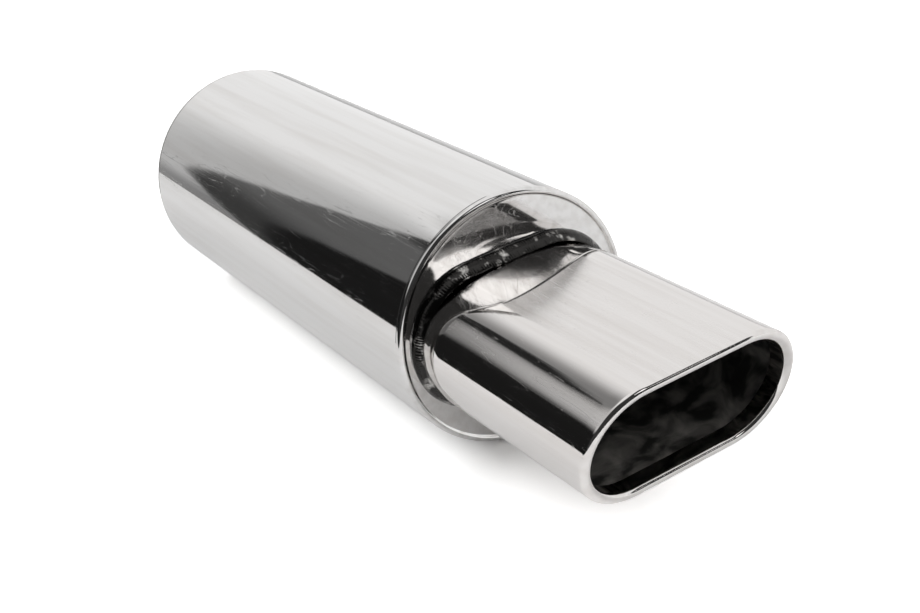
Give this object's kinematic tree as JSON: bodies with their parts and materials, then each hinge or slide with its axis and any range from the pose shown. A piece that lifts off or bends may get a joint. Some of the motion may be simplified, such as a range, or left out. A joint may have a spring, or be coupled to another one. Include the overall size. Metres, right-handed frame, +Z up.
{
  "type": "rear silencer with tail tip",
  "caption": "Straight-through round exhaust silencer in polished stainless sheet, with an open inlet pipe and a slash-cut oblong tail tip with a rolled lip.",
  "frame": {"origin": "centre of the inlet pipe's open end", "axes": "+Y along the pipe, out of its open end; +Z up, square to the tip's flat sides"},
  "size_m": [0.127, 0.4889, 0.127],
  "materials": {
    "polished_sheet": "polished stainless steel with fine lengthwise lines",
    "polished_cap": "polished stainless steel with fine brush lines",
    "polished_tip": "polished stainless steel with fine lines",
    "plain_sheet": "mill-finish stainless steel",
    "weld_metal": "rippled weld bead",
    "steel_wool": "matted steel fibre",
    "glass_fibre": "matted white fibre"
  },
  "bodies": {
    "root": {"outer_shell": "polished_sheet", "shell_seam_weld": "polished_sheet", "front_cap": "polished_sheet", "rear_cap": "polished_cap", "inlet_pipe": "plain_sheet", "inlet_weld": "weld_metal", "perforated_core": "plain_sheet", "core_weld_front": "weld_metal", "core_weld_rear": "weld_metal", "steel_wool_wrap": "steel_wool", "glass_fibre_packing": "glass_fibre", "tail_tip": "polished_tip", "tip_weld": "weld_metal"}
  },
  "joints": []
}
